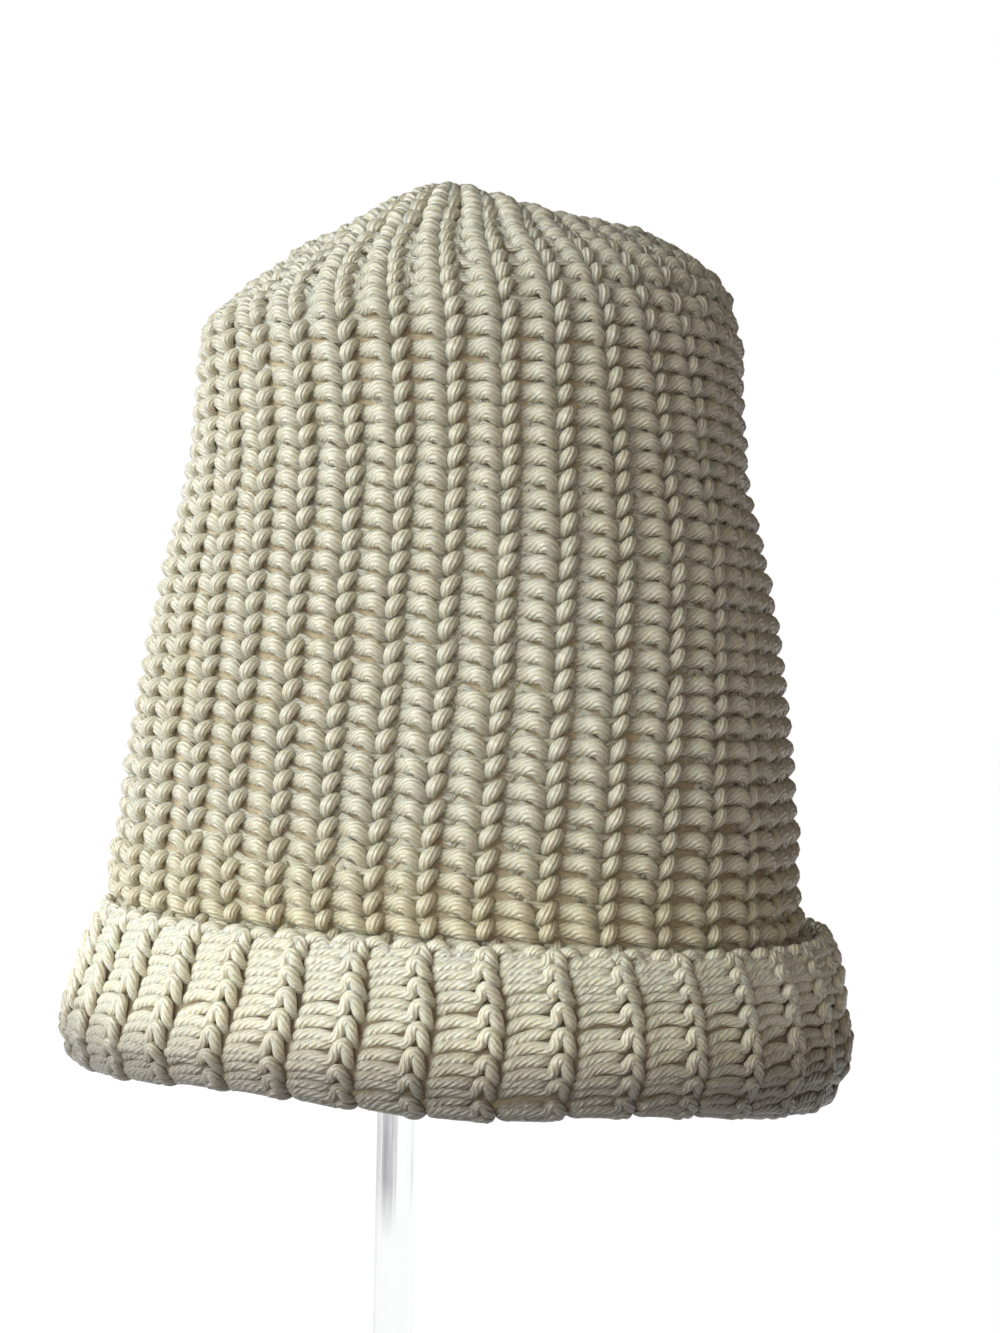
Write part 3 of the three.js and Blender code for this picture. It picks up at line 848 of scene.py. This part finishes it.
def make_cuff(reverse):
    # The cuff's yarn, with painted shade at its fold.
    yarn = yarn_material("cuff_yarn_painted_shade", CUFF_PAINTED_SHADE)
    courses = np.arange(*CUFF_COURSES)
    face = stitches("cuff_stitches", reverse, CUFF_KNIT, courses)
    tuck = stitches("cuff_tuck_strands", reverse, TUCK_KNIT, courses, steps=TUCK_STEPS, corners=TUCK_CORNERS)
    edge = stitches("cuff_edge_stitches", reverse, EDGE_KNIT, [EDGE_COURSE], 2 * RIBS, steps=EDGE_STEPS)
    for piece in (face, tuck, edge):
        dress(piece, yarn, "turned_up_cuff")


def make_inside(reverse, yarn):
    courses = np.arange(reverse.first + 1, INSIDE_END)
    inner = stitches(
        "inner_stitches", reverse, INNER_KNIT, courses, steps=INSIDE_STEPS, corners=INSIDE_CORNERS,
    )
    dress(inner, yarn, "crown")


def make_cores(outside, reverse):
    """The sheets that close the view between the stitches, dark with painted shade."""
    levels = np.linspace(outside.first, outside.last, CROWN_CORE_LEVELS)
    crown = wall_sheet("crown_core_painted_shade", outside, levels, *CROWN_CORE_DEPTHS)
    dress(crown, core_material("knit_core_painted_shade", CROWN_CORE_PAINTED_SHADE), "crown")
    levels = np.linspace(CUFF_CORE_START, reverse.last, CUFF_CORE_LEVELS)
    cuff = wall_sheet("cuff_core_painted_shade", reverse, levels, *CUFF_CORE_DEPTHS)
    dress(cuff, core_material("cuff_core_painted_shade", CUFF_CORE_PAINTED_SHADE), "turned_up_cuff")


def make_knit():
    outside, reverse = Form(CROWN_FORM), reverse_form()
    # The crown's yarn: a copy of the cuff's, darker with painted shade, and with painted light by height.
    yarn = yarn_material("crown_yarn_painted_light", CROWN_PAINTED_LIGHT)
    make_crown(outside, yarn)
    make_cuff(reverse)
    make_inside(reverse, yarn)
    make_cores(outside, reverse)


def make_stand():
    clear, streaked = acrylic_material("clear_acrylic"), acrylic_material("acrylic_painted_reflection", streaked=True)
    for name, material in (("stand_cap", clear), ("stand_post", streaked), ("stand_foot", clear)):
        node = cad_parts[name]
        node.data.materials.clear()
        node.data.materials.append(material)


# Camera, light and floor

def make_camera():
    data = bpy.data.cameras.new("camera")
    data.lens = FOCAL_PIXELS / PHOTO_HEIGHT * data.sensor_width
    camera = bpy.data.objects.new("camera", data)
    bpy.context.scene.collection.objects.link(camera)
    camera.location = [value * MM for value in CAMERA_PLACE]
    camera.rotation_mode = "QUATERNION"
    level = Euler((math.pi / 2, 0, 0)).to_quaternion()
    camera.rotation_quaternion = level @ Quaternion((0, 0, 1), math.radians(CAMERA_ROLL))
    bpy.context.scene.camera = camera


def shown_to(piece, *rays):
    """Keeps an object in the sight of the named kinds of ray alone."""
    for kind in ("camera", "diffuse", "glossy", "transmission", "shadow", "volume_scatter"):
        setattr(piece, f"visible_{kind}", kind in rays)


def shell(name, radius, material):
    bpy.ops.mesh.primitive_uv_sphere_add(segments=48, ring_count=24, radius=radius, location=(0, 0, 0))
    piece = bpy.context.object
    piece.name = name
    piece.data.materials.append(material)
    return piece


def make_stage():
    bpy.ops.mesh.primitive_circle_add(
        vertices=96, radius=BACKDROP_RADIUS, fill_type="NGON", location=(0, 0, 0),
    )
    floor = bpy.context.object
    floor.name = "floor"
    floor.data.materials.append(floor_material())
    floor.visible_diffuse = False
    backdrop = shell("backdrop", BACKDROP_RADIUS, glow_material("white_backdrop", 1.0))
    shown_to(backdrop, "camera")
    walls = shell("studio_walls", WALL_RADIUS, wall_material())
    shown_to(walls, "transmission")


def area_light(name, place, size, power, colour):
    """A round lamp that faces the hat."""
    data = bpy.data.lights.new(name, "AREA")
    data.shape = "DISK"
    data.size = size
    data.energy = power
    data.color = colour
    light = bpy.data.objects.new(name, data)
    bpy.context.scene.collection.objects.link(light)
    light.location = place
    light.rotation_mode = "QUATERNION"
    light.rotation_quaternion = (Vector(HAT_CENTRE) - Vector(place)).to_track_quat("-Z", "Y")


def make_light():
    world = bpy.data.worlds.new("studio")
    bpy.context.scene.world = world
    world.use_nodes = True
    background = world.node_tree.nodes["Background"]
    background.inputs["Color"].default_value = WORLD_COLOUR
    background.inputs["Strength"].default_value = WORLD_STRENGTH
    for light in LIGHTS:
        area_light(*light)
    bpy.context.scene.view_settings.view_transform = "Standard"


make_camera()
make_knit()
make_stand()
make_stage()
make_light()
